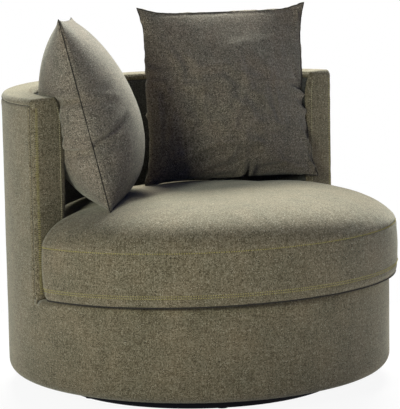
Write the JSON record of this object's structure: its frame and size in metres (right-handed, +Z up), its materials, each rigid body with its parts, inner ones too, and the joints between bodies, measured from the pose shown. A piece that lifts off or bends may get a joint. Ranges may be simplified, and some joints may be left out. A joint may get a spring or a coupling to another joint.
{
  "type": "armchair",
  "caption": "Round upholstered swivel armchair: barrel wall, deep loose seat cushion and scatter pillows on a recessed turning plinth.",
  "frame": {"origin": "on the floor, under the middle of the chair's length and width; the swivel's axis is 15.5 mm behind it", "axes": "+Z up, parallel to the swivel's axis, -Y the way the chair faces, +X towards the sitter's left"},
  "size_m": [0.9258, 0.9482, 0.8895],
  "materials": {
    "upholstery": "heathered taupe and olive flat weave",
    "lining_cloth": "black non-woven cloth",
    "foam": "cream upholstery foam",
    "wadding": "white fibre",
    "frame_timber": "planed softwood",
    "plywood": "sanded plywood",
    "webbing": "elastic webbing",
    "black_paint": "black painted, satin",
    "swivel_steel": "zinc plated",
    "cage_plastic": "natural nylon",
    "glide_plastic": "black",
    "zip_tape": "taupe zip tape"
  },
  "bodies": {
    "base": {"floor_glides": "glide_plastic", "plinth_ring": "black_paint", "plinth_board": "plywood", "swivel_lower_plate": "swivel_steel", "swivel_pivot": "swivel_steel", "pivot_washer": "swivel_steel", "pivot_nut": "swivel_steel", "lower_plate_screws": "swivel_steel"},
    "ball_cage_body": {"ball_cage": "cage_plastic", "swivel_balls": "swivel_steel"},
    "tub": {"arm_cover_left": "upholstery", "arm_cover_right": "upholstery", "arm_foam_left": "foam", "arm_foam_right": "foam", "arm_pillow_cover": "upholstery", "arm_pillow_filling": "wadding", "arm_post_left": "frame_timber", "arm_post_right": "frame_timber", "back_pillow_cover": "upholstery", "back_pillow_filling": "wadding", "bottom_board": "plywood", "deck_lining": "lining_cloth", "deck_pad": "foam", "dust_cover": "lining_cloth", "frame_screws": "swivel_steel", "front_cover": "upholstery", "front_edge_cover": "upholstery", "front_edge_foam": "foam", "front_panel": "plywood", "front_post_1": "frame_timber", "front_post_2": "frame_timber", "front_post_3": "frame_timber", "front_post_4": "frame_timber", "front_rail": "frame_timber", "front_wall_foam": "foam", "inner_cover": "upholstery", "inner_panel": "plywood", "inner_wall_foam": "foam", "outer_cover": "upholstery", "outer_panel": "plywood", "outer_wall_foam": "foam", "rim_cover": "upholstery", "rim_foam": "foam", "seat_cushion_cover": "upholstery", "seat_cushion_foam": "foam", "seat_cushion_wadding": "wadding", "seat_cushion_zip": "zip_tape", "seat_ring": "frame_timber", "skirt_ring": "frame_timber", "swivel_upper_plate": "swivel_steel", "top_rail": "frame_timber", "upper_plate_bolts": "swivel_steel", "upper_plate_nuts": "swivel_steel", "wall_post_1": "frame_timber", "wall_post_2": "frame_timber", "wall_post_3": "frame_timber", "wall_post_4": "frame_timber", "webbing_across": "webbing", "webbing_along": "webbing"}
  },
  "joints": [
    {"name": "swivel", "type": "hinge", "parent": "base", "child": "tub", "pos_m": [0, 0.0155, 0.0445], "axis": [0, 0, 1], "continuous": true},
    {"name": "cage_roll", "type": "hinge", "parent": "base", "child": "ball_cage_body", "pos_m": [0, 0.0155, 0.0445], "axis": [0, 0, 1], "continuous": true}
  ],
  "couplings": [
    {"joint": "cage_roll", "follows": "swivel", "ratio": 0.5}
  ]
}
